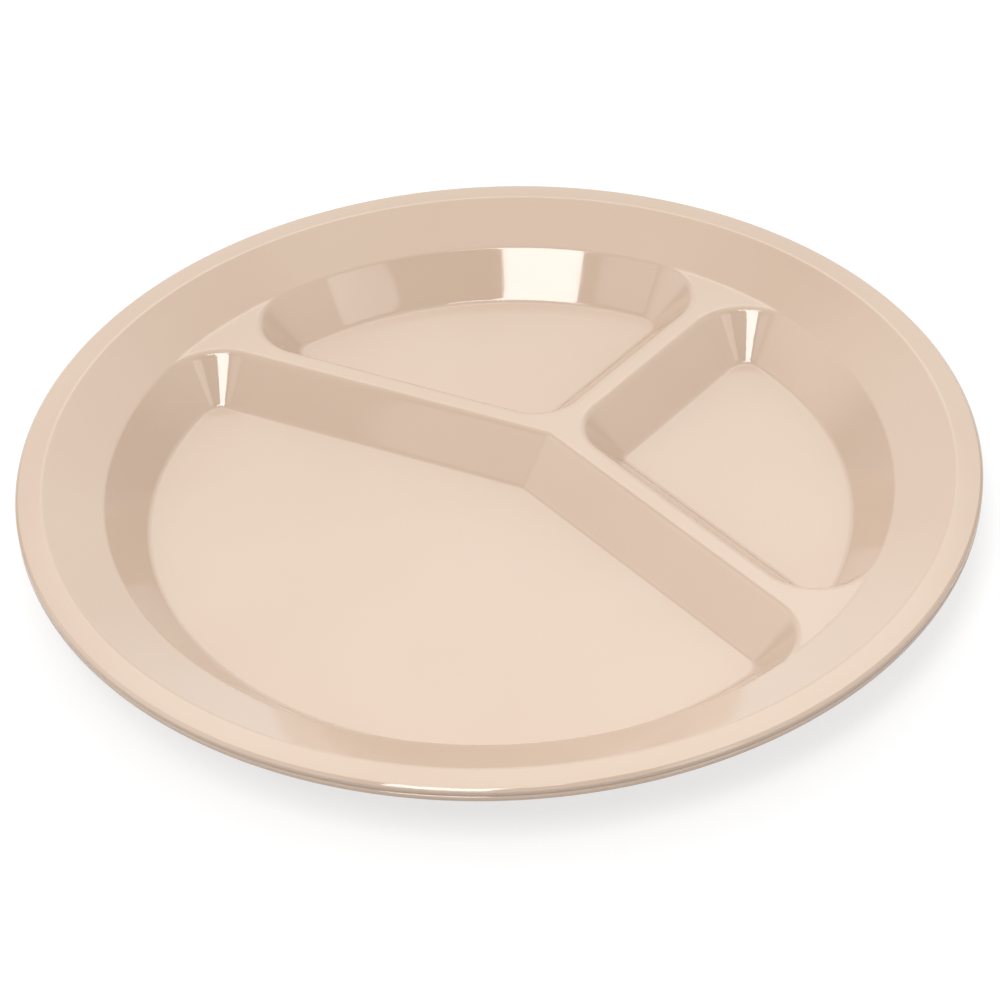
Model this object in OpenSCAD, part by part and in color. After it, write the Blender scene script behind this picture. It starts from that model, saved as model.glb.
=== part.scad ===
// Round plate with three food wells, moulded from tan melamine.
// The moulding is drawn as its named regions, which meet face to face: the lip, the flange,
// the crown of the dividers, and a wall, a floor and a foot for each well.
// The plate stands on its feet at z = 0. The large well lies on the -Y side, the two small wells
// on the +Y side, and the divider between the small wells runs along +Y.

/* [Plate] */
// Outer diameter over the lip
plate_d = 254; // [210:1:320]
// Thickness of the moulding
wall_t = 2.8; // [2:0.1:4]

/* [Rim] */
// Width of the band between the edge and the top of the flange
lip_w = 7; // [5:0.1:14]
// Fall of the band from its inner crease to the edge
lip_drop = 0.4; // [0:0.1:1]
// Radius of the crease between the band and the flange
crease_r = 2.4; // [1:0.1:5]
// Width of the sloping flange, seen from above
flange_w = 15.6; // [10:0.1:24]
// Height of the flange's slope
flange_rise = 6.8; // [3:0.1:10]
// Depth of the bead that hangs under the edge
bead_drop = 1.2; // [0.6:0.1:3]
// Width of the bead
bead_w = 3; // [2:0.1:4]
// Radius of the edge's top and bottom corners
edge_r = 0.6; // [0.3:0.1:0.8]
// Depth of the groove that runs round the edge
groove_depth = 0.35; // [0.1:0.05:0.6]
// Height of the groove's mouth
groove_h = 0.9; // [0.4:0.1:1]
// Distance from the top of the edge down to the groove's middle
groove_drop = 2; // [1.5:0.1:2.2]

/* [Wells] */
// Depth of the wells below the deck
well_depth = 11.5; // [6:0.1:18]
// Slope of the well walls above level
wall_angle = 46.4; // [40:0.1:70]
// Radius at the floor of the corners where the dividers run out to the rim
corner_r = 5.4; // [1.6:0.1:8]
// Radius at the floor of the small wells' corners where the dividers meet
junction_r = 3.4; // [1.4:0.1:8]
// Radius of the rounding at the top of the walls
brink_r = 2.4; // [0.4:0.1:3]
// Radius of the fillet between a wall and its floor
floor_fillet = 1.4; // [0.4:0.1:2.4]

/* [Dividers] */
// Width of a divider at the deck, between the edges of the two wells
divider_w = 5.6; // [4.4:0.1:16]
// Distance from the plate's axis to the point where the dividers meet
junction_y = 24.6; // [0:0.1:45]
// Angle from the divider along +Y to each of the other two
divider_angle = 103; // [92:0.5:120]

/* [Feet] */
// Height of the foot ridges
foot_h = 1.2; // [0.6:0.1:3]
// Width of the foot ridges
foot_w = 2.4; // [1.5:0.1:4]
// Distance from the edge of a floor in to its foot ridge
foot_inset = 3; // [1.6:0.1:8]
// Outer radius of a foot ridge's corners
foot_r = 5; // [4.2:0.1:12]

/* [Hidden] */

// Facets of a full turn, degrees of a well's outer arc and of its corners in each facet,
// and steps in each small fillet
$fn = 180;
arc_step = 4;
corner_step = 6;
fillet_steps = 4;
// Flat margin left beyond a fillet before a region ends
margin = 0.2;
melamine = [0.86, 0.74, 0.64];

// Heights
floor_z = foot_h + wall_t;
deck_z = floor_z + well_depth;
crease_z = deck_z + flange_rise;
band_z = crease_z - lip_drop;
edge_z = band_z - wall_t - bead_drop;

// Slopes of the flange and of the band
flange_angle = atan2(flange_rise, flange_w);
band_angle = -atan2(lip_drop, lip_w);

// Radii of the rim, from the edge inwards
edge_radius = plate_d / 2;
crease_radius = edge_radius - lip_w;
slope_radius = crease_radius - flange_w;
lip_seam_radius = crease_radius - crease_r * tan((flange_angle - band_angle) / 2) - margin;

// Well walls: how far they run outwards, and where they end at the floor and under a level deck
wall_run = well_depth / tan(wall_angle);
wall_bend = tan(wall_angle / 2);
floor_seam = -floor_fillet * wall_bend - margin;
level_seam = wall_t * wall_bend;
brink = min(brink_r, wall_t - margin);

// The wells' floors: their radius about the plate's axis and their distance from the dividers' middles
floor_radius = slope_radius - wall_run;
floor_gap = divider_w / 2 + wall_run;

// The crown ends on a circle that the dividers still cross with straight sides
crown_radius = floor_radius - 2 * corner_r - divider_w;

// Unit vector at an angle from +X, and the angle of a vector
function dir(a) = [cos(a), sin(a)];
function angle_of(p) = atan2(p.y, p.x);

// Points of an arc about a centre, from one angle to another
function arc(centre, r, from, to, steps = fillet_steps) =
    [for (i = [0:steps]) centre + r * dir(from + (to - from) * i / steps)];

// Point at a depth below both faces of a bend between two slopes
function under(p, slope_a, slope_b, depth) =
    p - depth * dir(90 + (slope_a + slope_b) / 2) / cos((slope_b - slope_a) / 2);

// Stations of a turn about a centre: each is a point and the outward direction there
function turn(centre, r, from, to, step) =
    let (steps = ceil(abs(to - from) / step))
    [for (u = arc([0, 0], 1, from, to, steps)) [centre + r * u, u]];

// A list without its two ends
function inner(list) = [for (i = [1:len(list) - 2]) list[i]];

// Where a line at distance k from the axis, with normal n, meets a circle about the axis
function chord_end(n, k, r) = k * n + sqrt(r * r - k * k) * [n.y, -n.x];

// Normal of the divider that runs off to the right, and that divider's distance from the axis
arm_normal = dir(180 - divider_angle);
arm_offset = junction_y * arm_normal.y;

// Outline of the right well, inset from the edge of its floor, with radii at the rim and the junction
function right_path(inset, r, r_inner) =
    let (
        radius = floor_radius - inset - r,
        gap = floor_gap + inset + r,
        inner_gap = floor_gap + inset + r_inner,
        middle = [inner_gap, junction_y + inner_gap / tan(divider_angle / 2)],
        side = chord_end(arm_normal, arm_offset + gap, radius),
        top = [gap, sqrt(radius * radius - gap * gap)]
    )
    concat(
        turn(middle, r_inner, 180, 360 - divider_angle, corner_step),
        turn(side, r, -divider_angle, angle_of(side), corner_step),
        inner(turn([0, 0], radius + r, angle_of(side), angle_of(top), arc_step)),
        turn(top, r, angle_of(top), 180, corner_step)
    );

// Outline of the large well: its two straight sides meet in a mitre on the plate's middle line
function large_path(inset, r) =
    let (
        radius = floor_radius - inset - r,
        gap = floor_gap + inset,
        side = chord_end(arm_normal, arm_offset - gap - r, radius),
        half_turn = divider_angle - 90,
        peak = [0, junction_y - gap / cos(half_turn)]
    )
    concat(
        turn(side, r, angle_of(side), 180 - divider_angle, corner_step),
        [[peak, [0, 1] / cos(half_turn)]],
        turn([-side.x, side.y], r, divider_angle, 180 - angle_of(side), corner_step),
        inner(turn([0, 0], radius + r, 180 - angle_of(side), 360 + angle_of(side), arc_step))
    );

// A path turned over to the other side of the middle line
function mirrored(path) =
    [for (i = [len(path) - 1:-1:0]) [for (v = path[i]) [-v.x, v.y]]];

large_well = large_path(0, corner_r);
right_well = right_path(0, corner_r, junction_r);
left_well = mirrored(right_well);
large_foot = large_path(foot_inset, foot_r);
right_foot = right_path(foot_inset, foot_r, foot_r);
left_foot = mirrored(right_foot);

// Outline at an outward offset from a path
function outline(path, offset) = [for (s = path) s[0] + offset * s[1]];

// Upper and lower faces of the deck and the flange, by radius
function deck_top(r) = deck_z + max(0, r - slope_radius) * tan(flange_angle);
function deck_under(r) =
    let (bend_radius = slope_radius + wall_t * tan(flange_angle / 2))
    deck_z - wall_t + max(0, r - bend_radius) * tan(flange_angle);

// Slope that a wall's top leans over to: level at a divider, the flange's slope at the rim
function top_slope(s) =
    let (reach = norm(s[0] + (wall_run + level_seam) * s[1]) - slope_radius)
    flange_angle * max(0, min(1, reach / level_seam));

// Offset from the edge of the floor to where a wall ends, over the bend of its lower face
function deck_seam(s) =
    wall_run + wall_t * sin((wall_angle + top_slope(s)) / 2) / cos((wall_angle - top_slope(s)) / 2);
function deck_edge(s) = s[0] + deck_seam(s) * s[1];

// Section of a well wall at a station, as outward offsets from the edge of the floor and heights
function wall_section(s) =
    let (
        slope = top_slope(s),
        seam = deck_seam(s),
        seam_radius = norm(deck_edge(s)),
        fillet_centre = [-floor_fillet * wall_bend, floor_z + floor_fillet],
        brink_centre = under([wall_run, deck_z], wall_angle, slope, brink)
    )
    concat(
        [[floor_seam, floor_z]],
        arc(fillet_centre, floor_fillet, -90, wall_angle - 90),
        arc(brink_centre, brink, wall_angle + 90, slope + 90),
        [[seam, deck_top(seam_radius)], [seam, deck_under(seam_radius)]],
        arc(fillet_centre, floor_fillet + wall_t, wall_angle - 90, -90),
        [[floor_seam, floor_z - wall_t]]
    );

// Section of the flange: the flat deck, the slope up to the lip, and the same faces below
flange_section = [
    [crown_radius, deck_z],
    [slope_radius, deck_z],
    [lip_seam_radius, deck_top(lip_seam_radius)],
    [lip_seam_radius, deck_under(lip_seam_radius)],
    under([slope_radius, deck_z], 0, flange_angle, wall_t),
    [crown_radius, deck_z - wall_t]
];

// Section of the lip: the crease, the band, the grooved edge, the bead and the face below
crease = [crease_radius, crease_z];
crease_centre = under(crease, flange_angle, band_angle, crease_r);
groove_z = band_z - groove_drop;
bead_radius = edge_radius - bead_w;
lip_section = concat(
    [[lip_seam_radius, deck_top(lip_seam_radius)]],
    arc(crease_centre, crease_r, flange_angle + 90, band_angle + 90),
    arc([edge_radius - edge_r, band_z - edge_r], edge_r, band_angle + 90, 0),
    [[edge_radius, groove_z + groove_h / 2]],
    [[edge_radius - groove_depth, groove_z]],
    [[edge_radius, groove_z - groove_h / 2]],
    arc([edge_radius - edge_r, edge_z + edge_r], edge_r, 0, -90),
    [[bead_radius, edge_z], [bead_radius, band_z - wall_t]],
    [under(crease, flange_angle, band_angle, wall_t)],
    [[lip_seam_radius, deck_under(lip_seam_radius)]]
);

// Wall of a well: one closed solid through the sections at all stations of a path
module well_wall(path) {
    n = len(path);
    m = len(wall_section(path[0]));
    points = [for (s = path, p = wall_section(s)) concat(s[0] + p.x * s[1], p.y)];
    faces = [
        for (i = [0:n - 1], j = [0:m - 1])
            let (a = i * m, b = ((i + 1) % n) * m, k = (j + 1) % m)
                [a + j, b + j, b + k, a + k]
    ];
    polyhedron(points, faces, convexity = 6);
}

// Flat floor inside a well's wall
module well_floor(path) {
    translate([0, 0, foot_h])
        linear_extrude(wall_t)
            polygon(outline(path, floor_seam));
}

// Ridge under a floor
module well_foot(path) {
    linear_extrude(foot_h)
        difference() {
            polygon(outline(path, 0));
            polygon(outline(path, -foot_w));
        }
}

// The three wells as flat shapes, out to where their walls end at the deck
module deck_openings() {
    for (path = [large_well, left_well, right_well])
        polygon([for (s = path) deck_edge(s)]);
}

module rim_lip() {
    color(melamine)
        rotate_extrude()
            polygon(lip_section);
}

module rim_flange() {
    color(melamine)
        difference() {
            rotate_extrude()
                polygon(flange_section);
            translate([0, 0, floor_z])
                linear_extrude(crease_z)
                    deck_openings();
        }
}

module divider_crown() {
    color(melamine)
        translate([0, 0, deck_z - wall_t])
            linear_extrude(wall_t)
                difference() {
                    circle(crown_radius);
                    deck_openings();
                }
}

module large_well_wall() {
    color(melamine) well_wall(large_well);
}

module large_well_floor() {
    color(melamine) well_floor(large_well);
}

module large_well_foot() {
    color(melamine) well_foot(large_foot);
}

module left_well_wall() {
    color(melamine) well_wall(left_well);
}

module left_well_floor() {
    color(melamine) well_floor(left_well);
}

module left_well_foot() {
    color(melamine) well_foot(left_foot);
}

module right_well_wall() {
    color(melamine) well_wall(right_well);
}

module right_well_floor() {
    color(melamine) well_floor(right_well);
}

module right_well_foot() {
    color(melamine) well_foot(right_foot);
}

rim_lip();
rim_flange();
divider_crown();
large_well_wall();
large_well_floor();
large_well_foot();
left_well_wall();
left_well_floor();
left_well_foot();
right_well_wall();
right_well_floor();
right_well_foot();
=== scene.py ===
"""Looks of a round plate with three food wells, in glossy tan melamine.

The file is laid out as an add-on and is run as a script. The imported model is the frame: each region of the
moulding is worked out anew as a smooth numpy surface, stands for its node, and gets a procedural material.
Lengths are in metres, +Z is up, and the plate stands on its foot ridges at z = 0.
"""

import math
from collections import namedtuple

import bmesh
import bpy
import numpy as np
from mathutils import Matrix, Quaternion, Vector


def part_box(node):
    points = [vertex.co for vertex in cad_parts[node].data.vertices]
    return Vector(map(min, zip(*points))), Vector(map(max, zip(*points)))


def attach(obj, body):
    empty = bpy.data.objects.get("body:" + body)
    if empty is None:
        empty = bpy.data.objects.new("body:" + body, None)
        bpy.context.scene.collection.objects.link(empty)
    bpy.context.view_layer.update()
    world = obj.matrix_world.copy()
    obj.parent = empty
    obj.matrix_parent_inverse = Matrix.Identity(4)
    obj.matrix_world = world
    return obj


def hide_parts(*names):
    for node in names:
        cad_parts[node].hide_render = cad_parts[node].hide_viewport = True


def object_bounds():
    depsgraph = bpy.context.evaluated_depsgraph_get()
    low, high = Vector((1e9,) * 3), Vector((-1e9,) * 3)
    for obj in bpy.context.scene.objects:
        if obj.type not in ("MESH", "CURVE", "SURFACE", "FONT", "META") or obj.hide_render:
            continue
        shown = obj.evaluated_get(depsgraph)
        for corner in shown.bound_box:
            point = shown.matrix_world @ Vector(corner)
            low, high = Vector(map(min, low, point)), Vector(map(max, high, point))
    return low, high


bl_info = {
    "name": "Divided Melamine Plate",
    "version": (1, 0, 0),
    "blender": (4, 5, 0),
    "location": "3D View > Sidebar > Plate",
    "description": "Surfaces, glossy finish and studio of a round plate with three food wells",
    "category": "Add Mesh",
}

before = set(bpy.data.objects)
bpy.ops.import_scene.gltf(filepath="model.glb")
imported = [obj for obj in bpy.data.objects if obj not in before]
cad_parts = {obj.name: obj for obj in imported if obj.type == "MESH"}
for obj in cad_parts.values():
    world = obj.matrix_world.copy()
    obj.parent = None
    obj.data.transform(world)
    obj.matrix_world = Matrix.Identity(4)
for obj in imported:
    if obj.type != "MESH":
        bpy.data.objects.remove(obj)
CAD_LOW, CAD_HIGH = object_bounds()
CROWN_LOW, CROWN_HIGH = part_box("divider_crown")
FLOOR_LOW, FLOOR_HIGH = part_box("large_well_floor")
MM = 0.001


# Settings that a user would change


def length(name, description, millimetres):
    """A length setting, whose default is given in millimetres."""
    return bpy.props.FloatProperty(
        name=name, description=description, default=millimetres * MM, min=0, unit="LENGTH", precision=5
    )


def angle(name, description, degrees):
    """An angle setting, whose default is given in degrees."""
    return bpy.props.FloatProperty(
        name=name, description=description, default=math.radians(degrees), subtype="ANGLE"
    )


def number(name, description, default):
    """A plain number setting."""
    return bpy.props.FloatProperty(name=name, description=description, default=default, precision=4)


def colour(name, description, default):
    """A colour setting, in linear light."""
    return bpy.props.FloatVectorProperty(
        name=name, description=description, default=default, size=3, min=0, max=1, subtype="COLOR"
    )


class PlateSizes(bpy.types.PropertyGroup):
    """Sizes of the moulding."""

    lip_width: length("Lip width", "Band between the edge and the flange", 7)
    lip_drop: length("Lip drop", "Fall of the band from its crease to the edge", 0.4)
    crease_rounding: length("Crease rounding", "Radius between the band and the flange", 2.4)
    flange_width: length("Flange width", "Sloping flange, seen from above", 15.6)
    flange_rise: length("Flange rise", "Height of the flange's slope", 6.8)
    hollow_reach: length("Hollow reach", "Half width of the hollow at the foot of the slope", 0.5)
    bead_drop: length("Bead drop", "Depth of the bead that hangs under the edge", 1.2)
    bead_width: length("Bead width", "Width of that bead", 3)
    bevel_width: length("Bevel width", "Width of the bevel round the top of the edge", 0.9)
    bevel_rise: angle("Bevel rise", "How far the bevel's face looks up above level", 49)
    bevel_crown: angle("Bevel crown", "How far that face turns over its width", 14)
    bevel_rounding: length("Bevel rounding", "Radius of the bends above and below the bevel", 0.3)
    edge_rounding: length("Edge rounding", "Radius at the bottom of the edge", 1)
    groove_depth: length("Groove depth", "Depth of the groove round the edge", 0.35)
    groove_height: length("Groove height", "Height of the groove's mouth", 0.9)
    groove_drop: length("Groove drop", "From the top of the edge to the groove's middle", 2)
    wall_slope: angle("Wall slope", "Slope of the well walls above level", 46.4)
    corner_radius: length("Corner radius", "Floor corners where the dividers meet the rim", 5.4)
    junction_radius: length("Junction radius", "Floor corners where the dividers meet", 3.4)
    brink_rounding: length("Brink rounding", "Radius at the top of the walls", 3)
    floor_fillet: length("Floor fillet", "Radius between a wall and its floor", 2.2)
    divider_width: length("Divider width", "Width of a divider at the deck", 5.6)
    junction_y: length("Junction", "From the plate's axis to where the dividers meet", 24.6)
    divider_angle: angle("Divider angle", "From the divider along +Y to each of the others", 103)
    foot_width: length("Foot width", "Width of the foot ridges", 2.4)
    foot_inset: length("Foot inset", "From the edge of a floor in to its foot ridge", 3)
    foot_corner: length("Foot corner", "Outer radius of a foot ridge's corners", 5)
    foot_rounding: length("Foot rounding", "Rounding of the ridge where it meets the table", 0.4)


class PlateFinish(bpy.types.PropertyGroup):
    """Colours and gloss of the melamine."""

    body: colour("Body", "Colour of the melamine", (0.635, 0.482, 0.37))
    cloud: colour("Cloud", "Colour of its paler pigment clouds", (0.655, 0.502, 0.39))
    rubbed: colour("Rubbed", "Colour of the foot ridges, rubbed by stacking", (0.75, 0.59, 0.47))
    gloss_roughness: number("Gloss roughness", "Roughness of the glossy faces", 0.055)
    foot_roughness: number("Foot roughness", "Roughness of the rubbed foot ridges", 0.42)
    ripple: length("Ripple", "Depth of the moulding's faint ripple", 0.008)


class PlateStudio(bpy.types.PropertyGroup):
    """Camera, floor and light."""

    turn: angle("Camera turn", "Camera's turn about the plate, from -Y towards +X", 40)
    rise: angle("Camera rise", "Camera's height above level", 38.4014)
    roll: angle("Camera roll", "Camera's tilt about its own axis", -2.5792)
    distance: length("Camera distance", "From the rim's centre to the camera", 933.45)
    target_height: length("Target height", "Height of the point that the camera looks at", 21.7)
    lens: number("Lens", "Focal length in millimetres on a 36 mm sensor", 127.505)
    shift_x: number("Shift X", "Sideways shift that the photograph's framing needs", 0.002365)
    shift_y: number("Shift Y", "Upward shift that the photograph's framing needs", -0.044035)
    floor: colour("Floor", "Colour of the studio floor", (0.38, 0.38, 0.38))
    floor_glow: number("Floor glow", "Light that the floor adds in the camera's view", 0.68)
    floor_reach: length("Floor reach", "Width of the studio floor", 20000)
    ambient: number("Ambient", "Strength of the light from all round", 0.225)
    lamp_distance: length("Lamp distance", "From the plate to each softbox", 3000)


# Geometry helpers


def heading(turn):
    """Unit vectors that point along angles measured from +X."""
    return np.stack([np.cos(turn), np.sin(turn)], axis=-1)


def size_of(vectors):
    """Lengths of the vectors in an array."""
    return np.linalg.norm(vectors, axis=-1)


def spread(stops, counts):
    """Values that run from stop to stop, in the given number of even steps between each two stops."""
    stops = np.broadcast_arrays(*stops)
    runs = [
        a[..., None] + (b - a)[..., None] * np.linspace(0, 1, n, endpoint=False)
        for a, b, n in zip(stops[:-1], stops[1:], counts)
    ]
    return np.concatenate(runs + [stops[-1][..., None]], axis=-1)


def smooth_min(a, b, blend):
    """The lower of two heights, eased by a parabola where they differ by less than the blend."""
    ease = np.clip(1 - np.abs(a - b) / blend, 0, None)
    return np.minimum(a, b) - ease**2 * blend / 4


def smooth_max(a, b, blend):
    """The higher of two heights, eased in the same way."""
    return -smooth_min(-a, -b, blend)


def blend_of(radius, slope_a, slope_b):
    """Blend that eases two slopes with about the curvature of a radius.

    The parabola's second derivative is the square of the difference of the tangents over twice the blend.
    """
    rise = np.tan(slope_a) - np.tan(slope_b)
    middle = (np.tan(slope_a) + np.tan(slope_b)) / 2
    return radius * rise**2 / (2 * (1 + middle**2) ** 1.5)


def arc_points(centre, radius, start, end, steps):
    """Points on an arc about a centre, from one angle to another."""
    return np.asarray(centre) + radius * heading(np.linspace(start, end, steps + 1))


def below(point, slope_a, slope_b, depth):
    """Point at a depth below both faces of a bend between two slopes."""
    middle = (slope_a + slope_b) / 2
    half_bend = (slope_b - slope_a) / 2
    return point - depth * heading(math.pi / 2 + middle) / math.cos(half_bend)


def raised(points, heights):
    """Plan points of a grid, with one height for each of its columns."""
    columns = np.broadcast_to(heights[None, :, None], (*points.shape[:2], 1))
    return np.concatenate([points, columns], axis=-1)


# Layout of the plate, seen from above

Arc = namedtuple("Arc", "centre radius start end")
Rays = namedtuple("Rays", "foot out reach")
Cell = namedtuple("Cell", "rays ends first_cut last_cut outline")


class Layout:
    """Heights, radii and slopes that follow from the plate's sizes and the frame."""

    def __init__(self, sizes):
        self.sizes = sizes
        self.margin = 0.2 * MM
        self.thickness = CROWN_HIGH.z - CROWN_LOW.z
        self.floor_z = FLOOR_HIGH.z
        self.foot_height = FLOOR_LOW.z
        self.deck_z = CROWN_HIGH.z
        self.crease_z = self.deck_z + sizes.flange_rise
        self.band_z = self.crease_z - sizes.lip_drop
        self.edge_z = self.band_z - self.thickness - sizes.bead_drop

        self.flange_slope = math.atan2(sizes.flange_rise, sizes.flange_width)
        self.band_slope = -math.atan2(sizes.lip_drop, sizes.lip_width)
        self.edge_radius = (CAD_HIGH.x - CAD_LOW.x) / 2
        self.crease_radius = self.edge_radius - sizes.lip_width
        self.slope_radius = self.crease_radius - sizes.flange_width
        crease_tangent = sizes.crease_rounding * math.tan((self.flange_slope - self.band_slope) / 2)
        self.lip_seam = self.crease_radius - crease_tangent - self.margin

        wall_bend = math.tan(sizes.wall_slope / 2)
        self.wall_run = (self.deck_z - self.floor_z) / math.tan(sizes.wall_slope)
        self.floor_seam = -sizes.floor_fillet * wall_bend - self.margin
        self.level_seam = self.thickness * wall_bend
        self.floor_radius = self.slope_radius - self.wall_run
        self.floor_gap = sizes.divider_width / 2 + self.wall_run
        self.crown_end = self.floor_radius - 2 * sizes.corner_radius - sizes.divider_width

        self.junction = np.array([0, sizes.junction_y])
        self.stem = np.array([0, 1])
        self.arm = heading(math.pi / 2 - sizes.divider_angle)
        self.arm_normal = heading(math.pi - sizes.divider_angle)
        self.arm_offset = self.junction @ self.arm_normal

    def along_arm(self, radius):
        """Distance from the junction along an arm to a circle about the plate's axis."""
        return math.sqrt(radius**2 - self.arm_offset**2) - self.junction @ self.arm

    def corner_by_arm(self, offset, radius):
        """Point of a circle about the axis at an offset from the right arm's middle line."""
        k = self.arm_offset + offset
        return k * self.arm_normal + math.sqrt(radius**2 - k**2) * self.arm

    def right_outline(self, inset=0, least=0):
        """Arcs of the right well's floor edge, drawn in by an inset, with a least radius for its corners."""
        sizes = self.sizes
        corner = max(sizes.corner_radius - inset, least)
        inner = max(sizes.junction_radius - inset, least)
        gap = self.floor_gap + inset
        radius = self.floor_radius - inset
        middle_x = gap + inner
        middle = np.array([middle_x, sizes.junction_y + middle_x / math.tan(sizes.divider_angle / 2)])
        side = self.corner_by_arm(gap + corner, radius - corner)
        top = np.array([gap + corner, math.sqrt((radius - corner) ** 2 - (gap + corner) ** 2)])
        side_turn, top_turn = math.atan2(side[1], side[0]), math.atan2(top[1], top[0])
        return [
            Arc(middle, inner, math.pi, 2 * math.pi - sizes.divider_angle),
            Arc(side, corner, -sizes.divider_angle, side_turn),
            Arc(np.zeros(2), radius, side_turn, top_turn),
            Arc(top, corner, top_turn, math.pi),
        ]

    def large_outline(self, inset=0, least=0):
        """Arcs of the large well's floor edge. The third one rounds the mitre where its two sides meet."""
        sizes = self.sizes
        corner = max(sizes.corner_radius - inset, least)
        gap = self.floor_gap + inset
        radius = self.floor_radius - inset
        side = self.corner_by_arm(-gap - corner, radius - corner)
        side_turn = math.atan2(side[1], side[0])
        lean = sizes.divider_angle - math.pi / 2
        peak = np.array([0, sizes.junction_y - (gap + least) / math.cos(lean)])
        return [
            Arc(np.zeros(2), radius, math.pi - side_turn, 2 * math.pi + side_turn),
            Arc(side, corner, side_turn, math.pi / 2 - lean),
            Arc(peak, least, math.pi / 2 - lean, math.pi / 2 + lean),
            Arc(side * [-1, 1], corner, math.pi / 2 + lean, math.pi - side_turn),
        ]

    def deck_top(self, radius, hollow):
        """Upper face of the deck and the flange by radius: level, then a straight slope.

        A parabola eases the bend over the hollow's reach on both sides of the slope's foot.
        """
        past = radius - self.slope_radius
        eased = (past + hollow) ** 2 / (4 * hollow)
        rise = np.where(past > hollow, past, np.where(past < -hollow, 0, eased))
        return self.deck_z + rise * math.tan(self.flange_slope)

    def deck_under(self, radius):
        """Lower face of the deck and the flange, at the moulding's thickness below the upper one."""
        bend = self.slope_radius + self.thickness * math.tan(self.flange_slope / 2)
        return self.deck_z - self.thickness + np.clip(radius - bend, 0, None) * math.tan(self.flange_slope)


def nearest(ends, arcs):
    """Points of a closed outline that are nearest to the ends.

    The outline is a list of arcs, each joined to the next by a straight run. The nearest point of an arc
    lies on the line from its centre, and that of a straight run is square to it, both kept within their
    own spans.
    """
    least_square = 1e-18
    found = []
    for arc, following in zip(arcs, arcs[1:] + arcs[:1]):
        away = ends - arc.centre
        span = arc.end - arc.start
        turn = np.mod(np.arctan2(away[:, 1], away[:, 0]) - arc.start, 2 * math.pi)
        past_start = turn > math.pi + span / 2
        turn = np.where(past_start, 0, np.minimum(turn, span))
        found.append(arc.centre + arc.radius * heading(arc.start + turn))
        begin = arc.centre + arc.radius * heading(arc.end)
        run = following.centre + following.radius * heading(following.start) - begin
        share = np.clip((ends - begin) @ run / max(run @ run, least_square), 0, 1)
        found.append(begin + share[:, None] * run)
    found = np.array(found)
    best = np.argmin(size_of(ends - found), axis=0)
    return found[best, np.arange(len(ends))]


def rays_between(feet, ends, reach):
    """Rays from feet to ends, whose directions take them there over a given reach."""
    return Rays(feet, (ends - feet) / reach[:, None], reach)


def mirrored(cell):
    """A cell turned over to the other side of the plate's middle line, in the same sense of turning."""
    flip = np.array([-1, 1])
    foot, out, reach, ends = (np.roll(part[::-1], 1, axis=0) for part in (*cell.rays, cell.ends))
    outline = [
        Arc(arc.centre * flip, arc.radius, math.pi - arc.end, math.pi - arc.start)
        for arc in cell.outline[::-1]
    ]
    return Cell(Rays(foot * flip, out * flip, reach), ends * flip, cell.last_cut, cell.first_cut, outline)


def divider_ends(plan, direction, cut, reach):
    """Points along a divider's middle, from the junction out to the lip, and the number of the cut's."""
    near = 14 * MM
    counts = (16, 22, 64)
    steps = spread((0.0, near, cut, reach), counts)
    return plan.junction + steps[:, None] * direction, counts[0] + counts[1]


def well_cells(plan):
    """The three wells' rays, from the edge of each floor to the middle of a divider or to the lip.

    Each cell turns counter-clockwise from the junction, and neighbours end their rays at the same points of
    the divider between them. Every ray leaves the floor's edge squarely, except along the large well's two
    straight sides: there the rays fan out evenly from the mitre, and their reach is still counted squarely.
    """
    small_rim_steps, large_rim_steps = 130, 256
    arm_cut, arm_reach = plan.along_arm(plan.crown_end), plan.along_arm(plan.lip_seam)
    arm_ends, arm_cut = divider_ends(plan, plan.arm, arm_cut, arm_reach)
    stem_cut, stem_reach = plan.crown_end - plan.junction[1], plan.lip_seam - plan.junction[1]
    stem_ends, stem_cut = divider_ends(plan, plan.stem, stem_cut, stem_reach)
    arm_turn = math.atan2(arm_ends[-1, 1], arm_ends[-1, 0])

    turns = np.linspace(arm_turn, math.pi / 2, small_rim_steps + 1)
    rim_ends = plan.lip_seam * heading(turns[1:-1])
    ends = np.concatenate([arm_ends, rim_ends, stem_ends[:0:-1]])
    outline = plan.right_outline()
    feet = nearest(ends, outline)
    right = Cell(rays_between(feet, ends, size_of(ends - feet)), ends, arm_cut, stem_cut, outline)

    turns = np.linspace(math.pi - arm_turn, 2 * math.pi + arm_turn, large_rim_steps + 1)
    rim_ends = plan.lip_seam * heading(turns[1:-1])
    ends = np.concatenate([arm_ends * [-1, 1], rim_ends, arm_ends[:0:-1]])
    outline = plan.large_outline()
    feet = nearest(ends, outline)
    reach = size_of(ends - feet)
    side, peak = outline[1], outline[2].centre
    tangent = side.centre + side.radius * plan.arm_normal
    share = (arm_ends - plan.junction) @ plan.arm / ((tangent - plan.junction) @ plan.arm)
    fan_feet = peak + share[share < 1, None] * (tangent - peak)
    count = len(fan_feet)
    feet[:count] = fan_feet * [-1, 1]
    feet[-1:-count:-1] = fan_feet[1:]
    reach[:count] = plan.floor_gap
    reach[-1:-count:-1] = plan.floor_gap
    large = Cell(rays_between(feet, ends, reach), ends, arm_cut, arm_cut, outline)
    return {"large": large, "left": mirrored(right), "right": right}


# Heights over the rays


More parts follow.
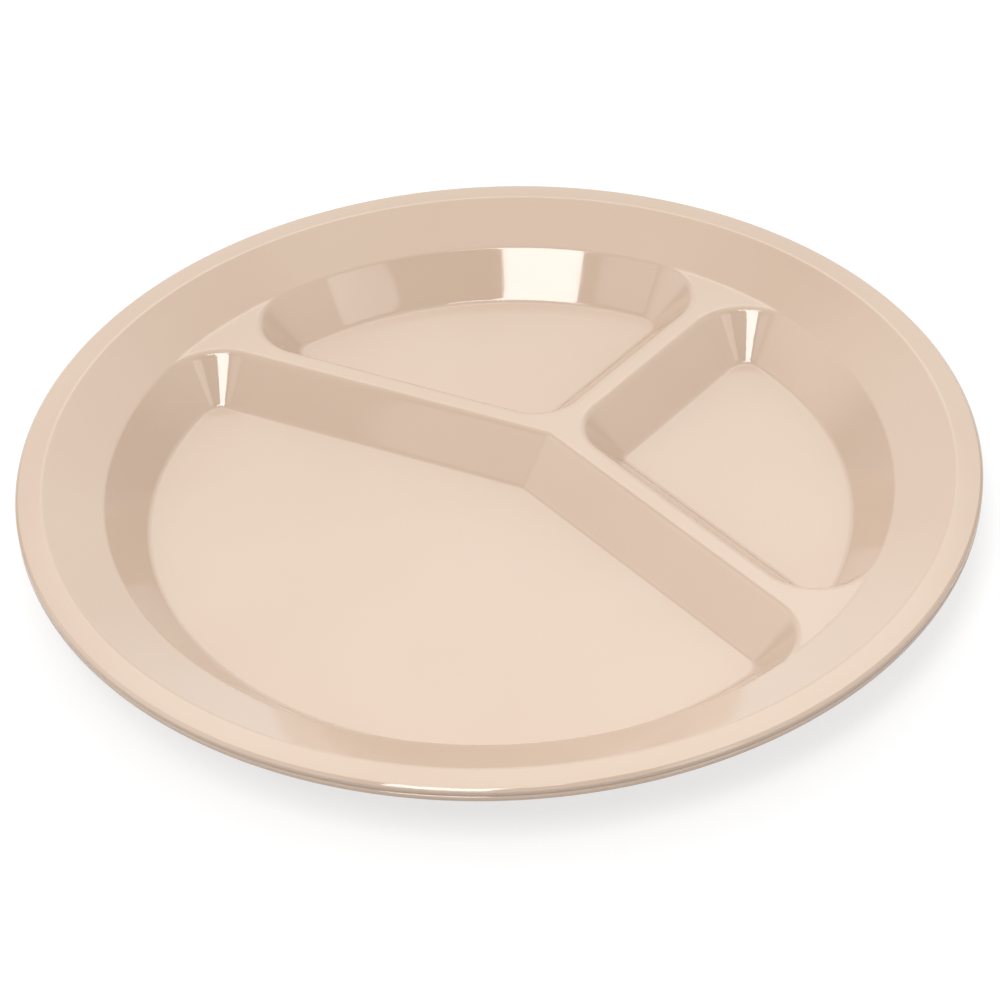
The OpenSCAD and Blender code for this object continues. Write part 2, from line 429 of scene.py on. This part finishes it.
class Profile:
    """Heights of the moulding's two faces along the rays of a cell."""

    def __init__(self, plan, rays):
        self.plan = plan
        self.rays = rays
        sizes = plan.sizes
        past_foot = size_of(rays.foot + (plan.wall_run + plan.level_seam) * rays.out) - plan.slope_radius
        self.top_slope = plan.flange_slope * np.clip(past_foot / plan.level_seam, 0, 1)
        half_sum = (sizes.wall_slope + self.top_slope) / 2
        half_gap = (sizes.wall_slope - self.top_slope) / 2
        self.deck_seam = plan.wall_run + plan.thickness * np.sin(half_sum) / np.cos(half_gap)
        self.brink_blend = blend_of(sizes.brink_rounding, sizes.wall_slope, self.top_slope)
        self.brink_half = self.brink_blend / (math.tan(sizes.wall_slope) - np.tan(self.top_slope))
        self.floor_blend = blend_of(sizes.floor_fillet, sizes.wall_slope, 0)
        self.under_blend = blend_of(sizes.floor_fillet + plan.thickness, sizes.wall_slope, 0)
        self.slope_foot = self.crossing(plan.slope_radius)
        land = np.clip(self.slope_foot - plan.wall_run, 0, None)
        least_hollow = 1e-6
        self.hollow = np.clip(land / 2, least_hollow, sizes.hollow_reach)

    def crossing(self, radius):
        """Reach at which each ray crosses a circle about the plate's axis."""
        along = np.sum(self.rays.out**2, axis=1)
        inward = np.sum(self.rays.foot * self.rays.out, axis=1) / along
        rest = (np.sum(self.rays.foot**2, axis=1) - radius**2) / along
        return np.sqrt(np.clip(inward**2 - rest, 0, None)) - inward

    def places(self, offsets):
        """Plan positions and radii at offsets along the rays."""
        points = self.rays.foot[:, None] + offsets[..., None] * self.rays.out[:, None]
        return points, size_of(points)

    def top(self, offsets):
        """Upper face: the wall's straight slope, eased into the floor below and the deck above."""
        plan = self.plan
        points, radii = self.places(offsets)
        wall = plan.floor_z + offsets * math.tan(plan.sizes.wall_slope)
        deck = plan.deck_top(radii, self.hollow[:, None])
        over_brink = smooth_min(wall, deck, self.brink_blend[:, None])
        height = smooth_max(over_brink, plan.floor_z, self.floor_blend)
        return np.concatenate([points, height[..., None]], axis=-1)

    def under(self, offsets):
        """Lower face: the same slope a thickness below, eased into the floor's lower face."""
        plan = self.plan
        points, radii = self.places(offsets)
        slope = plan.sizes.wall_slope
        wall = plan.floor_z + offsets * math.tan(slope) - plan.thickness / math.cos(slope)
        wall = smooth_max(wall, plan.floor_z - plan.thickness, self.under_blend)
        height = np.minimum(wall, plan.deck_under(radii))
        return np.concatenate([points, height[..., None]], axis=-1)

    def wall_section(self):
        """Closed section of a well's wall: up over its face to the deck, and back along its underside."""
        plan = self.plan
        cover = 1.05
        up_steps, down_steps = (1, 8, 4, 10, 2), (4, 10, 1)
        tangent = math.tan(plan.sizes.wall_slope)
        fillet = cover * self.floor_blend / tangent
        bend = plan.level_seam
        under_fillet = cover * self.under_blend / tangent
        run, brink = plan.wall_run, cover * self.brink_half
        up = (plan.floor_seam, -fillet, fillet, run - brink, run + brink, self.deck_seam)
        down = (self.deck_seam, bend + under_fillet, bend - under_fillet, plan.floor_seam)
        top, under = self.top(spread(up, up_steps)), self.under(spread(down, down_steps))
        return np.concatenate([top, under], axis=1)

    def deck_section(self, rows):
        """Upper and lower face of the deck along some of the rays, finer at the foot of the slope."""
        first_bend, last_bend = 0.15, 0.85
        cover, widest_half = 1.2, 0.12
        steps = (4, 6, 8)
        start, end = self.deck_seam, self.rays.reach
        width = end - start
        bend = start + width * np.clip((self.slope_foot - start) / width, first_bend, last_bend)
        half = np.minimum(cover * self.plan.sizes.hollow_reach, widest_half * width)
        offsets = spread((start, bend - half, bend + half, end), steps)
        return self.top(offsets)[rows], self.under(offsets)[rows]


# Meshes


def grid_quads(index):
    """Quads between neighbouring rows and columns of a grid of vertex numbers."""
    corners = (index[:-1, :-1], index[:-1, 1:], index[1:, 1:], index[1:, :-1])
    return np.stack(corners, axis=-1).reshape(-1, 4)


def ring_quads(sections, closed_section=True):
    """Quads of sections carried round a closed path. An open section starts and ends at a pole."""
    rows, columns = sections.shape[:2]
    index = np.arange(rows * columns).reshape(rows, columns)
    return grid_quads(np.pad(index, ((0, 1), (0, int(closed_section))), mode="wrap"))


def run_quads(rows, columns, on_lip, start):
    """Quads of an open run of a sheet: both faces, the inner edge, the ends, and the outer edge at the lip.

    The section at each row goes out along the top and back along the bottom.
    """
    index = start + np.arange(rows * 2 * columns).reshape(rows, 2 * columns)
    top, bottom = index[:, :columns], index[:, :columns - 1:-1]
    outer_edge = grid_quads(index[:, columns - 1:columns + 1])[on_lip[:-1] & on_lip[1:]]
    return np.concatenate([
        grid_quads(top),
        grid_quads(index[:, columns:]),
        grid_quads(index[:, [-1, 0]]),
        outer_edge,
        grid_quads(np.stack([bottom[0], top[0]])),
        grid_quads(np.stack([top[-1], bottom[-1]])),
    ])


def make_piece(name, points, faces, material, node):
    """A finished piece: a welded, smooth-shaded mesh that stands for a node and rides on the body."""
    weld_distance = 1e-7
    sharp_angle = math.radians(30)
    mesh = bpy.data.meshes.new(name)
    mesh.from_pydata(points.reshape(-1, 3), [], faces)
    weld = bmesh.new()
    weld.from_mesh(mesh)
    bmesh.ops.remove_doubles(weld, verts=weld.verts, dist=weld_distance)
    weld.to_mesh(mesh)
    weld.free()
    mesh.polygons.foreach_set("use_smooth", np.ones(len(mesh.polygons), bool))
    mesh.set_sharp_from_angle(angle=sharp_angle)
    mesh.materials.append(material)
    piece = bpy.data.objects.new(name, mesh)
    bpy.context.scene.collection.objects.link(piece)
    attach(piece, "root")
    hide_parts(node)
    return piece


def plate_plan():
    """The layout and the cells that follow from the settings."""
    plan = Layout(bpy.context.scene.plate_sizes)
    return plan, well_cells(plan)


def edge_top(plan):
    """Top of the edge: a slightly crowned bevel between two tight bends, down to the upright face.

    Each stretch turns its normal evenly between two angles. The points are the running sum of the steps.
    """
    sizes = plan.sizes
    high, low = sizes.bevel_rise + sizes.bevel_crown / 2, sizes.bevel_rise - sizes.bevel_crown / 2
    counts = (5, 4, 5)
    normals = spread((plan.band_slope + math.pi / 2, high, low, 0.0), counts)
    crown_radius = sizes.bevel_width / sizes.bevel_crown
    radii = np.repeat([sizes.bevel_rounding, crown_radius, sizes.bevel_rounding], counts)
    along = heading((normals[:-1] + normals[1:]) / 2 - math.pi / 2)
    steps = -(radii * np.diff(normals))[:, None] * along
    points = np.concatenate([np.zeros((1, 2)), np.cumsum(steps, axis=0)])
    return points + [plan.edge_radius - points[-1, 0], plan.band_z]


def lip_section(plan):
    """Section of the lip: crease, band, bevelled edge with its groove, bead, and the face below.

    The groove is one wave of a cosine, cut into the upright edge.
    """
    sizes = plan.sizes
    crease_steps, groove_steps, corner_steps = 10, 12, 6
    crease = np.array([plan.crease_radius, plan.crease_z])
    slopes = plan.flange_slope, plan.band_slope
    crease_centre = below(crease, *slopes, sizes.crease_rounding)
    up, down = math.pi / 2, -math.pi / 2
    corner = plan.edge_radius - sizes.edge_rounding
    wave = np.linspace(-1, 1, groove_steps + 1)
    groove = np.stack([
        plan.edge_radius - sizes.groove_depth * (1 + np.cos(math.pi * wave)) / 2,
        plan.band_z - sizes.groove_drop - wave * sizes.groove_height / 2,
    ], axis=-1)
    bead_radius = plan.edge_radius - sizes.bead_width
    seam_top = plan.deck_z + (plan.lip_seam - plan.slope_radius) * math.tan(plan.flange_slope)
    return np.concatenate([
        [[plan.lip_seam, seam_top]],
        arc_points(crease_centre, sizes.crease_rounding, slopes[0] + up, slopes[1] + up, crease_steps),
        edge_top(plan),
        groove,
        arc_points((corner, plan.edge_z + sizes.edge_rounding), sizes.edge_rounding, 0, down, corner_steps),
        [[bead_radius, plan.edge_z], [bead_radius, plan.band_z - plan.thickness]],
        [below(crease, *slopes, plan.thickness)],
        [[plan.lip_seam, plan.deck_under(np.array(plan.lip_seam))]],
    ])


def on_the_lip(plan, ends):
    """Which ends lie on the lip's seam."""
    tolerance = 1e-6
    return np.isclose(size_of(ends), plan.lip_seam, rtol=0, atol=tolerance)


# Operators


class PLATE_OT_rim(bpy.types.Operator):
    """Make the lip round the plate: a section carried round a circle."""

    bl_idname = "plate.rim"
    bl_label = "Lip"

    def execute(self, context):
        plan, cells = plate_plan()
        ends = np.concatenate([cell.ends[on_the_lip(plan, cell.ends)][:-1] for cell in ring_order(cells)])
        section = lip_section(plan)
        around = ends / size_of(ends)[:, None]
        points = raised(around[:, None] * section[None, :, :1], section[:, 1])
        make_piece("lip_band", points, ring_quads(points), gloss_melamine(), "rim_lip")
        return {"FINISHED"}


def ring_order(cells):
    """The cells in the order in which they follow each other counter-clockwise round the rim."""
    return [cells["right"], cells["left"], cells["large"]]


class PLATE_OT_deck(bpy.types.Operator):
    """Make the flange and the crown of the dividers: sheets along the rays of all three wells."""

    bl_idname = "plate.deck"
    bl_label = "Flange and divider crown"

    def execute(self, context):
        plan, cells = plate_plan()
        runs = {"flange": [], "crown": []}
        for cell in ring_order(cells):
            runs["flange"].append((cell, np.arange(cell.first_cut, len(cell.ends) - cell.last_cut + 1)))
            runs["crown"].append((cell, np.arange(-cell.last_cut, cell.first_cut + 1)))
        for name, node in (("flange", "rim_flange"), ("crown", "divider_crown")):
            points, faces, start = [], [], 0
            for cell, rows in runs[name]:
                top, under = Profile(plan, cell.rays).deck_section(rows)
                faces.append(run_quads(*top.shape[:2], on_the_lip(plan, cell.ends[rows]), start))
                points.append(np.concatenate([top, under[:, ::-1]], axis=1).reshape(-1, 3))
                start += len(points[-1])
            make_piece(name, np.concatenate(points), np.concatenate(faces), gloss_melamine(), node)
        return {"FINISHED"}


class PLATE_OT_wells(bpy.types.Operator):
    """Make the wall and the floor of each well: a section along the rays, and a disc that fills it."""

    bl_idname = "plate.wells"
    bl_label = "Well walls and floors"

    def execute(self, context):
        plan, cells = plate_plan()
        outward = np.array([0, 0.4, 0.8, 0.97, 1])
        shares = np.concatenate([outward, outward[::-1]])
        heights = np.repeat([plan.floor_z, plan.floor_z - plan.thickness], len(outward))
        for name, cell in cells.items():
            wall = Profile(plan, cell.rays).wall_section()
            make_piece(f"{name}_wall", wall, ring_quads(wall), gloss_melamine(), f"{name}_well_wall")
            edge = cell.rays.foot + plan.floor_seam * cell.rays.out
            middle = (edge.min(axis=0) + edge.max(axis=0)) / 2
            disc = raised(middle + shares[None, :, None] * (edge - middle)[:, None], heights)
            quads = ring_quads(disc, closed_section=False)
            make_piece(f"{name}_floor", disc, quads, gloss_melamine(), f"{name}_well_floor")
        return {"FINISHED"}


class PLATE_OT_feet(bpy.types.Operator):
    """Make the foot ridges: a rounded section carried round an outline inside each floor's edge."""

    bl_idname = "plate.feet"
    bl_label = "Foot ridges"

    def execute(self, context):
        plan, cells = plate_plan()
        sizes = plan.sizes
        corner_steps = 6
        inset, corner, rounding = sizes.foot_inset, sizes.foot_corner, sizes.foot_rounding
        right = plan.right_outline(inset, corner)
        large = plan.large_outline(inset, corner)
        low_left = (rounding - sizes.foot_width, rounding)
        section = np.concatenate([
            [[-sizes.foot_width, plan.foot_height], [0, plan.foot_height]],
            arc_points((-rounding, rounding), rounding, 0, -math.pi / 2, corner_steps),
            arc_points(low_left, rounding, -math.pi / 2, -math.pi, corner_steps),
        ])
        right_ring = foot_ring(cells["right"].ends, right, section)
        rings = {
            "large": foot_ring(cells["large"].ends, large, section),
            "left": right_ring[::-1] * [-1, 1, 1],
            "right": right_ring,
        }
        for name, ring in rings.items():
            make_piece(f"{name}_foot", ring, ring_quads(ring), rubbed_melamine(), f"{name}_well_foot")
        return {"FINISHED"}


def foot_ring(ends, outline, section):
    """A section of outward offsets and heights at the points of an outline that are nearest to the ends."""
    feet = nearest(ends, outline)
    out = (ends - feet) / size_of(ends - feet)[:, None]
    return raised(feet[:, None] + section[None, :, :1] * out[:, None], section[:, 1])


# Materials

MELAMINE_IOR = 1.6
Melamine = namedtuple("Melamine", "material tree shader place grain")
# Numbers of the Mix node's sockets for the share and for colours.
SHARE, FIRST_COLOUR, SECOND_COLOUR, MIXED_COLOUR = 0, 6, 7, 2


def noise(tree, vector, scale, detail):
    """A noise pattern over a vector, with its scale taken from a socket."""
    node = tree.nodes.new("ShaderNodeTexNoise")
    node.inputs["Detail"].default_value = detail
    tree.links.new(vector, node.inputs["Vector"])
    tree.links.new(scale, node.inputs["Scale"])
    return node.outputs["Fac"]


def remap(tree, value, source, target):
    """A value moved from one range to another and held within it."""
    node = tree.nodes.new("ShaderNodeMapRange")
    node.inputs["From Min"].default_value, node.inputs["From Max"].default_value = source
    node.inputs["To Min"].default_value, node.inputs["To Max"].default_value = target
    tree.links.new(value, node.inputs["Value"])
    return node.outputs["Result"]


def moulded_grain():
    """Node group of the faint unevenness of moulded melamine.

    Puts out a mask of pigment clouds, a mask of duller polish, and the height of a slow ripple.
    """
    name = "Moulded grain"
    if name in bpy.data.node_groups:
        return bpy.data.node_groups[name]
    group = bpy.data.node_groups.new(name, "ShaderNodeTree")
    face = group.interface
    face.new_socket("Vector", in_out="INPUT", socket_type="NodeSocketVector")
    # Each pattern's detail, and the window of its noise that is spread from nought to one.
    patterns = {"Cloud": (3, (0.35, 0.65)), "Polish": (5, (0.3, 0.7)), "Ripple": (1, (0.25, 0.75))}
    for label in patterns:
        face.new_socket(f"{label} scale", in_out="INPUT", socket_type="NodeSocketFloat")
        face.new_socket(label, in_out="OUTPUT", socket_type="NodeSocketFloat")
    start = group.nodes.new("NodeGroupInput")
    end = group.nodes.new("NodeGroupOutput")
    for label, (detail, window) in patterns.items():
        pattern = noise(group, start.outputs["Vector"], start.outputs[f"{label} scale"], detail)
        group.links.new(remap(group, pattern, window, (0, 1)), end.inputs[label])
    return group


def melamine_base(name, scales):
    """A new material with a glossy Principled shader, its object coordinates and the moulded grain."""
    material = bpy.data.materials.new(name)
    material.use_nodes = True
    tree = material.node_tree
    shader = tree.nodes["Principled BSDF"]
    shader.inputs["IOR"].default_value = MELAMINE_IOR
    place = tree.nodes.new("ShaderNodeTexCoord").outputs["Object"]
    grain = tree.nodes.new("ShaderNodeGroup")
    grain.node_tree = moulded_grain()
    tree.links.new(place, grain.inputs["Vector"])
    for label, scale in scales.items():
        grain.inputs[f"{label} scale"].default_value = scale
    bump = tree.nodes.new("ShaderNodeBump")
    bump.inputs["Distance"].default_value = bpy.context.scene.plate_finish.ripple
    tree.links.new(grain.outputs["Ripple"], bump.inputs["Height"])
    tree.links.new(bump.outputs["Normal"], shader.inputs["Normal"])
    return Melamine(material, tree, shader, place, grain)


def blended(tree, share, first, second):
    """A colour between two others, by a share."""
    node = tree.nodes.new("ShaderNodeMix")
    node.data_type = "RGBA"
    for index, value in ((FIRST_COLOUR, first), (SECOND_COLOUR, second)):
        socket = node.inputs[index]
        if isinstance(value, bpy.types.NodeSocket):
            tree.links.new(value, socket)
        else:
            socket.default_value = (*value, 1)
    tree.links.new(share, node.inputs[SHARE])
    return node.outputs[MIXED_COLOUR]


def gloss_melamine():
    """Glossy faces: tan with paler pigment clouds, and a polish that varies a little."""
    name = "gloss_melamine"
    if name in bpy.data.materials:
        return bpy.data.materials[name]
    finish = bpy.context.scene.plate_finish
    variation = 0.015
    material, tree, shader, _, grain = melamine_base(name, {"Cloud": 16, "Polish": 240, "Ripple": 45})
    clouded = blended(tree, grain.outputs["Cloud"], finish.body, finish.cloud)
    tree.links.new(clouded, shader.inputs["Base Color"])
    dullness = (finish.gloss_roughness - variation, finish.gloss_roughness + variation)
    polish = remap(tree, grain.outputs["Polish"], (0, 1), dullness)
    tree.links.new(polish, shader.inputs["Roughness"])
    return material


def rubbed_melamine():
    """Foot ridges: the same melamine, paler and duller towards the face that rubs on tables."""
    name = "rubbed_melamine"
    if name in bpy.data.materials:
        return bpy.data.materials[name]
    finish = bpy.context.scene.plate_finish
    rub_heights = (0.1 * MM, 0.8 * MM)
    rub_evenness = (0.7, 1)
    material, tree, shader, place, grain = melamine_base(name, {"Cloud": 30, "Polish": 600, "Ripple": 120})
    parts = tree.nodes.new("ShaderNodeSeparateXYZ")
    tree.links.new(place, parts.inputs["Vector"])
    rub = remap(tree, parts.outputs["Z"], rub_heights, (1, 0))
    worn = tree.nodes.new("ShaderNodeMath")
    worn.operation = "MULTIPLY"
    tree.links.new(rub, worn.inputs[0])
    tree.links.new(remap(tree, grain.outputs["Polish"], (0, 1), rub_evenness), worn.inputs[1])
    clouded = blended(tree, grain.outputs["Cloud"], finish.body, finish.cloud)
    paled = blended(tree, worn.outputs["Value"], clouded, finish.rubbed)
    tree.links.new(paled, shader.inputs["Base Color"])
    dulling = remap(tree, worn.outputs["Value"], (0, 1), (finish.gloss_roughness, finish.foot_roughness))
    tree.links.new(dulling, shader.inputs["Roughness"])
    return material


# Studio

Lamp = namedtuple("Lamp", "name turn rise wide high radiance")
# Softboxes that face the plate. Turns are counted from the camera's own heading, to its right as seen from
# above. Width and height are the angles that a softbox fills as seen from the plate, in degrees, and its
# radiance is in the units in which a white surface in full light shows 1.
LAMPS = (
    Lamp("key_softbox", -19.5, 56.5, 17, 19, 9.5),
    Lamp("top_softbox", -14, 70, 26, 9, 6),
    Lamp("left_panel", -50, 44, 14, 14, 0.9),
    Lamp("right_panel", 45, 43, 14, 17, 1.6),
)
Swell = namedtuple("Swell", "turn rise edge full strength")
# Soft changes of the light from all round, the last one a gap. Each is eased in between two angles from its
# middle, in degrees.
SWELLS = (
    Swell(180, 20, 52, 20, 0.65),
    Swell(180, 50, 18, 4, 1.5),
    Swell(180, 5, 26, 10, 0.45),
    Swell(146, 36, 30, 10, 0.55),
    Swell(-150, 33, 26, 8, 0.4),
    Swell(180, 82, 28, 8, 0.55),
    Swell(-95, 28, 36, 10, 1.2),
    Swell(80, 30, 40, 12, 0.7),
    Swell(10, 15, 45, 12, 0.6),
    Swell(8, 48, 34, 18, -0.22),
)


def camera_direction(studio, turn=0.0, rise=None):
    """Unit vector from the plate at a turn from the camera's heading, and at a rise above level."""
    side = studio.turn + turn
    rise = studio.rise if rise is None else rise
    return Vector((math.sin(side) * math.cos(rise), -math.cos(side) * math.cos(rise), math.sin(rise)))


def add_camera(studio):
    """The camera at the photograph's angle."""
    camera = bpy.data.objects.new("camera", bpy.data.cameras.new("camera"))
    bpy.context.scene.collection.objects.link(camera)
    direction = camera_direction(studio)
    camera.location = Vector((0, 0, studio.target_height)) + studio.distance * direction
    camera.rotation_mode = "QUATERNION"
    roll = Quaternion((0, 0, 1), studio.roll)
    camera.rotation_quaternion = (-direction).to_track_quat("-Z", "Y") @ roll
    camera.data.lens = studio.lens
    camera.data.shift_x = studio.shift_x
    camera.data.shift_y = studio.shift_y
    bpy.context.scene.camera = camera


def add_lamp(studio, lamp):
    """A softbox that faces the plate, with its power worked out from its radiance and its area."""
    light = bpy.data.lights.new(lamp.name, "AREA")
    light.shape = "RECTANGLE"
    light.size = 2 * studio.lamp_distance * math.tan(math.radians(lamp.wide) / 2)
    light.size_y = 2 * studio.lamp_distance * math.tan(math.radians(lamp.high) / 2)
    light.energy = lamp.radiance * math.pi * light.size * light.size_y
    box = bpy.data.objects.new(lamp.name, light)
    bpy.context.scene.collection.objects.link(box)
    direction = camera_direction(studio, math.radians(lamp.turn), math.radians(lamp.rise))
    box.location = studio.lamp_distance * direction
    box.rotation_mode = "QUATERNION"
    box.rotation_quaternion = (-direction).to_track_quat("-Z", "Y")


def seen_directly(tree):
    """One for camera, glossy and transmission rays, and nought for the rays that light the plate."""
    path = tree.nodes.new("ShaderNodeLightPath")
    total = path.outputs["Is Camera Ray"]
    for label in ("Is Glossy Ray", "Is Transmission Ray"):
        either = tree.nodes.new("ShaderNodeMath")
        either.operation = "MAXIMUM"
        tree.links.new(total, either.inputs[0])
        tree.links.new(path.outputs[label], either.inputs[1])
        total = either.outputs["Value"]
    return total


def add_floor(studio):
    """A plain floor that keeps the plate's shadow. Light of its own, in the view alone, makes it white."""
    reach = studio.floor_reach / 2
    mesh = bpy.data.meshes.new("studio_floor")
    corners = np.array([[-1, -1, 0], [1, -1, 0], [1, 1, 0], [-1, 1, 0]]) * reach
    mesh.from_pydata(corners, [], [(0, 1, 2, 3)])
    floor = bpy.data.objects.new("studio_floor", mesh)
    bpy.context.scene.collection.objects.link(floor)
    material = bpy.data.materials.new("studio_floor")
    material.use_nodes = True
    tree = material.node_tree
    tree.nodes.remove(tree.nodes["Principled BSDF"])
    diffuse = tree.nodes.new("ShaderNodeBsdfDiffuse")
    diffuse.inputs["Color"].default_value = (*studio.floor, 1)
    glow = tree.nodes.new("ShaderNodeEmission")
    strength = remap(tree, seen_directly(tree), (0, 1), (0, studio.floor_glow))
    tree.links.new(strength, glow.inputs["Strength"])
    both = tree.nodes.new("ShaderNodeAddShader")
    tree.links.new(diffuse.outputs["BSDF"], both.inputs[0])
    tree.links.new(glow.outputs["Emission"], both.inputs[1])
    tree.links.new(both.outputs["Shader"], tree.nodes["Material Output"].inputs["Surface"])
    mesh.materials.append(material)


def add_world(studio):
    """White light from all round, with soft swells on most sides and a soft gap above the camera.

    Each swell goes by the cosine of the angle to its middle.
    """
    world = bpy.data.worlds.new("studio")
    world.use_nodes = True
    tree = world.node_tree
    place = tree.nodes.new("ShaderNodeTexCoord").outputs["Generated"]
    background = tree.nodes["Background"]
    background.inputs["Color"].default_value = (1, 1, 1, 1)
    total = None
    for swell in SWELLS:
        cosine = tree.nodes.new("ShaderNodeVectorMath")
        cosine.operation = "DOT_PRODUCT"
        middle = camera_direction(studio, math.radians(swell.turn), math.radians(swell.rise))
        cosine.inputs[1].default_value = middle
        tree.links.new(place, cosine.inputs[0])
        span = (math.cos(math.radians(swell.edge)), math.cos(math.radians(swell.full)))
        share = remap(tree, cosine.outputs["Value"], span, (0, swell.strength))
        share.node.interpolation_type = "SMOOTHSTEP"
        plus = tree.nodes.new("ShaderNodeMath")
        plus.inputs[1].default_value = studio.ambient
        if total:
            tree.links.new(total, plus.inputs[1])
        tree.links.new(share, plus.inputs[0])
        total = plus.outputs["Value"]
    tree.links.new(total, background.inputs["Strength"])
    bpy.context.scene.world = world


class PLATE_OT_stage(bpy.types.Operator):
    """Make the studio: the camera, the softboxes, the light from all round and the pale floor."""

    bl_idname = "plate.stage"
    bl_label = "Studio"

    def execute(self, context):
        studio = context.scene.plate_studio
        context.scene.view_settings.view_transform = "Standard"
        add_camera(studio)
        for lamp in LAMPS:
            add_lamp(studio, lamp)
        add_world(studio)
        add_floor(studio)
        return {"FINISHED"}


class PLATE_PT_sidebar(bpy.types.Panel):
    """Settings of the plate, and the steps that make it."""

    bl_idname = "PLATE_PT_sidebar"
    bl_label = "Divided plate"
    bl_space_type = "VIEW_3D"
    bl_region_type = "UI"
    bl_category = "Plate"

    def draw(self, context):
        for settings in SETTINGS:
            box = self.layout.box()
            group = getattr(context.scene, settings)
            for label in group.__annotations__:
                box.prop(group, label)
        for step in STEPS:
            self.layout.operator(step.bl_idname)


SETTINGS = {"plate_sizes": PlateSizes, "plate_finish": PlateFinish, "plate_studio": PlateStudio}
STEPS = (PLATE_OT_stage, PLATE_OT_rim, PLATE_OT_deck, PLATE_OT_wells, PLATE_OT_feet)
CLASSES = (*SETTINGS.values(), *STEPS, PLATE_PT_sidebar)


def register():
    """Register the classes and hang the settings on the scene."""
    for cls in CLASSES:
        bpy.utils.register_class(cls)
    for name, group in SETTINGS.items():
        setattr(bpy.types.Scene, name, bpy.props.PointerProperty(type=group))


def unregister():
    """Take the settings and the classes away again."""
    for name in SETTINGS:
        delattr(bpy.types.Scene, name)
    for cls in reversed(CLASSES):
        bpy.utils.unregister_class(cls)


def main():
    register()
    bpy.ops.plate.stage()
    bpy.ops.plate.rim()
    bpy.ops.plate.deck()
    bpy.ops.plate.wells()
    bpy.ops.plate.feet()


if __name__ == "__main__":
    main()
